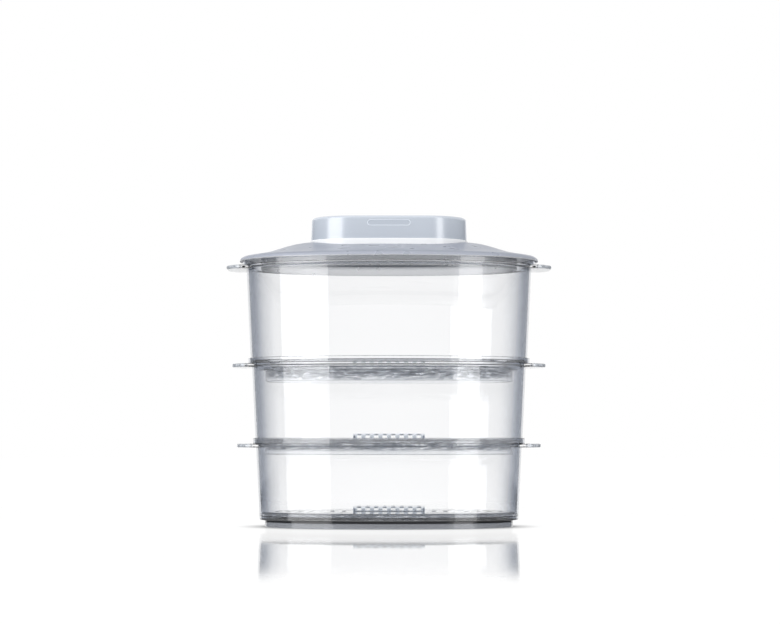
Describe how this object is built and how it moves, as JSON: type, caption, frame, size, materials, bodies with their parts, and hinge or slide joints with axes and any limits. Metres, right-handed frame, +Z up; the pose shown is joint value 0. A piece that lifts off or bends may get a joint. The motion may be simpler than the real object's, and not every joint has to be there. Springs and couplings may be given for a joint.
{
  "type": "food steamer bowl stack",
  "caption": "Stack of clear oval steaming bowls with lift-out perforated floors, side ears and a domed lid with an oblong grey handle.",
  "frame": {"origin": "middle of the footprint, on the surface that the stack stands on", "axes": "+Z up; X from ear to ear, the longest way across the ovals; -Y is the front, where the blank badge on the handle faces"},
  "size_m": [0.312, 0.2074, 0.2964],
  "materials": {
    "clear_bowl": "clear moulded plastic, polished",
    "clear_floor": "clear moulded plastic, finely textured",
    "smoky_lid": "translucent grey moulded plastic, satin outside",
    "pale_trim": "pale glossy plastic",
    "silver_grey": "silver-grey satin plastic",
    "badge_grey": "silver-grey plastic, blank, bright edge",
    "screw_steel": "stainless steel"
  },
  "bodies": {
    "bottom": {"bottom_bowl": "clear_bowl"},
    "bottom_floor": {"bottom_floor": "clear_floor"},
    "middle": {"middle_bowl": "clear_bowl"},
    "middle_floor": {"middle_floor": "clear_floor"},
    "top": {"top_bowl": "clear_bowl"},
    "top_floor": {"top_floor": "clear_floor"},
    "lid": {"lid": "smoky_lid", "handle_base": "pale_trim", "lid_handle": "silver_grey", "handle_badge": "badge_grey", "handle_screws": "screw_steel"}
  },
  "joints": [
    {"name": "bottom_floor_push", "type": "slide", "parent": "bottom", "child": "bottom_floor", "axis": [0, 0, 1], "range_m": [0, 0.045]},
    {"name": "middle_bowl_lift", "type": "slide", "parent": "bottom", "child": "middle", "axis": [0, 0, 1], "range_m": [0, 0.08]},
    {"name": "middle_floor_push", "type": "slide", "parent": "middle", "child": "middle_floor", "axis": [0, 0, 1], "range_m": [0, 0.045]},
    {"name": "top_bowl_lift", "type": "slide", "parent": "middle", "child": "top", "axis": [0, 0, 1], "range_m": [0, 0.08]},
    {"name": "top_floor_push", "type": "slide", "parent": "top", "child": "top_floor", "axis": [0, 0, 1], "range_m": [0, 0.045]},
    {"name": "lid_lift", "type": "slide", "parent": "top", "child": "lid", "axis": [0, 0, 1], "range_m": [0, 0.08]}
  ]
}
